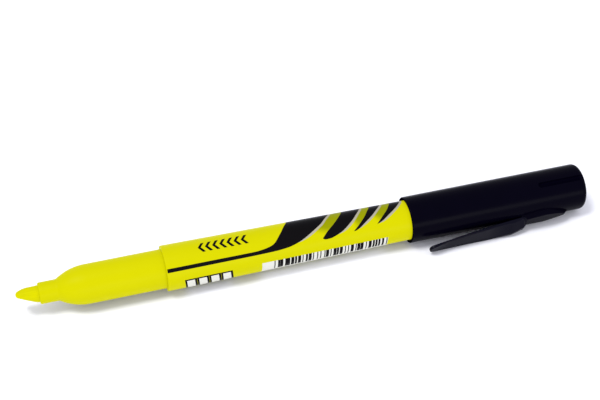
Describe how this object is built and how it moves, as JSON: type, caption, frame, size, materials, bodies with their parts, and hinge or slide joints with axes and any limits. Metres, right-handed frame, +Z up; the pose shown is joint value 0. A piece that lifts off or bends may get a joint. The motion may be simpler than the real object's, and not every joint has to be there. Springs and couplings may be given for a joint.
{
  "type": "highlighter",
  "caption": "Pen-style highlighter with a chisel fibre nib, stepped nose and printed tapered barrel, its clipped cap posted on the tail.",
  "frame": {"origin": "on the surface the pen lies on, below the middle of its overall box", "axes": "+X along the pen from the nib towards the closed end of the posted cap, +Z up, -Y the side the pocket clip points to"},
  "size_m": [0.139, 0.0142, 0.0113],
  "materials": {
    "nib_fibre": "bonded polyester fibre, soaked with fluorescent yellow ink",
    "nose_yellow": "moulded polypropylene, fluorescent yellow, satin",
    "barrel_yellow": "moulded polypropylene, fluorescent yellow, soft gloss",
    "tail_yellow": "moulded polypropylene, fluorescent yellow, satin",
    "reservoir_fibre": "bundled polyester fibre, soaked with ink",
    "film": "thin polypropylene film, translucent",
    "cap_black": "moulded polypropylene, navy black, glossy",
    "liner_black": "moulded polyethylene, black, matt",
    "clip_black": "moulded polypropylene, navy black, glossy",
    "print_black": "printed ink, black, soft gloss",
    "print_silver": "printed ink, silver grey",
    "print_olive": "printed ink, translucent olive yellow",
    "print_white": "printed ink, white"
  },
  "bodies": {
    "pen": {"nib": "nib_fibre", "nose_section": "nose_yellow", "barrel": "barrel_yellow", "tail_plug": "tail_yellow", "ink_reservoir": "reservoir_fibre", "reservoir_film": "film"},
    "liner": {"cap_liner": "liner_black"},
    "cap": {"cap_shell": "cap_black"},
    "clip": {"pocket_clip": "clip_black"}
  },
  "joints": [
    {"name": "cap_slide", "type": "slide", "parent": "pen", "child": "liner", "axis": [1, 0, 0], "range_m": [0, 0.027]},
    {"name": "cap_turn", "type": "hinge", "parent": "liner", "child": "cap", "pos_m": [0.04685, 0.00149, 0.00564], "axis": [1, 0, 0], "continuous": true},
    {"name": "clip_flex", "type": "hinge", "parent": "cap", "child": "clip", "pos_m": [0.0521, -0.00466, 0.00274], "axis": [0, -0.427, 0.9043], "range_deg": [0, 4], "stiffness_Nm_per_rad": 0.17}
  ]
}
